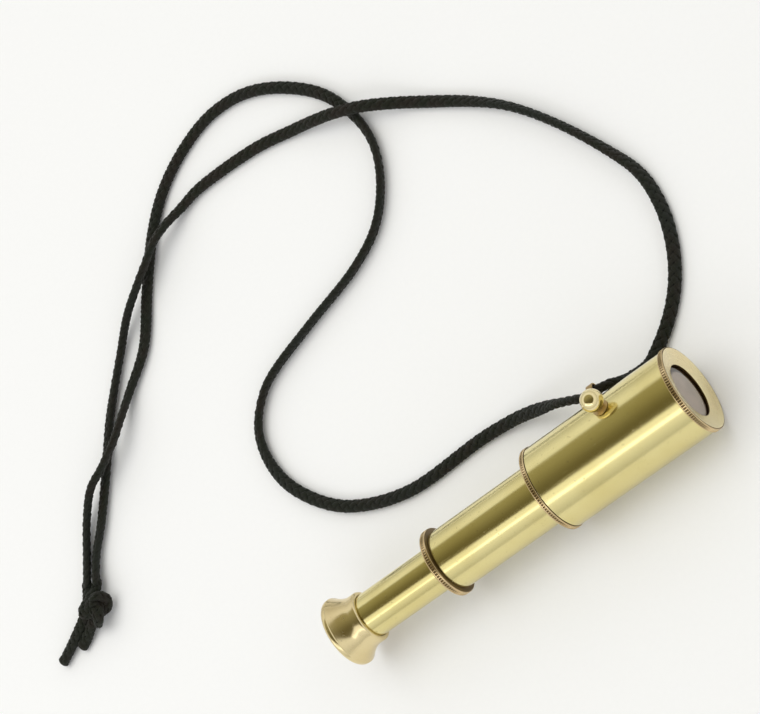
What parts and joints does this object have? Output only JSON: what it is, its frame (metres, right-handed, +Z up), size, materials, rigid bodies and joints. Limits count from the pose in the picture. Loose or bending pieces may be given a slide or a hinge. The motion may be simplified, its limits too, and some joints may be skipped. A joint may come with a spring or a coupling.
{
  "type": "pocket telescope",
  "caption": "Brass pocket spyglass with sliding draw tubes, dished objective bezel, knurled collars, flared eyepiece cup, and a ball stud with a soldered eye that carries a knotted neck cord.",
  "frame": {"origin": "on the table, midway along the drawn-out spyglass and below the middle of its metal parts, cord eye included, which is 1.8 mm behind the optical axis", "axes": "+X parallel to the optical axis, towards the objective, +Z up; the lug leans towards +Y, where the neck cord lies"},
  "size_m": [0.1924, 0.1481, 0.0244],
  "materials": {
    "polished_brass": "polished, with fine lengthwise drawing marks",
    "turned_brass": "turned and lightly polished, tarnished in the knurling",
    "bright_brass": "bright polished",
    "optical_glass": "polished",
    "blackened_brass": "chemically blackened, matt",
    "braided_cord": "braided polyester yarn, dull black"
  },
  "bodies": {
    "barrel": {"barrel_tube": "polished_brass", "barrel_rear_collar": "turned_brass", "objective_bezel": "turned_brass", "objective_lens": "optical_glass", "objective_lens_seat": "blackened_brass", "lug_bead": "bright_brass", "lug_foot": "bright_brass", "cord_eye": "bright_brass", "cord_left_strand": "braided_cord", "cord_right_strand": "braided_cord", "cord_knot": "braided_cord", "cord_left_tail": "braided_cord", "cord_right_tail": "braided_cord"},
    "large_draw": {"large_draw_tube": "polished_brass", "large_draw_stop_ring": "turned_brass", "large_draw_collar": "turned_brass", "large_draw_baffle": "blackened_brass"},
    "small_draw": {"small_draw_tube": "polished_brass", "small_draw_stop_ring": "turned_brass", "eyepiece_cup": "turned_brass", "eyepiece_lens": "optical_glass", "eyepiece_lens_ring": "blackened_brass"}
  },
  "joints": [
    {"name": "large_draw_slide", "type": "slide", "parent": "barrel", "child": "large_draw", "axis": [1, 0, 0], "range_m": [0, 0.0286]},
    {"name": "small_draw_slide", "type": "slide", "parent": "large_draw", "child": "small_draw", "axis": [1, 0, 0], "range_m": [0, 0.0215]}
  ]
}
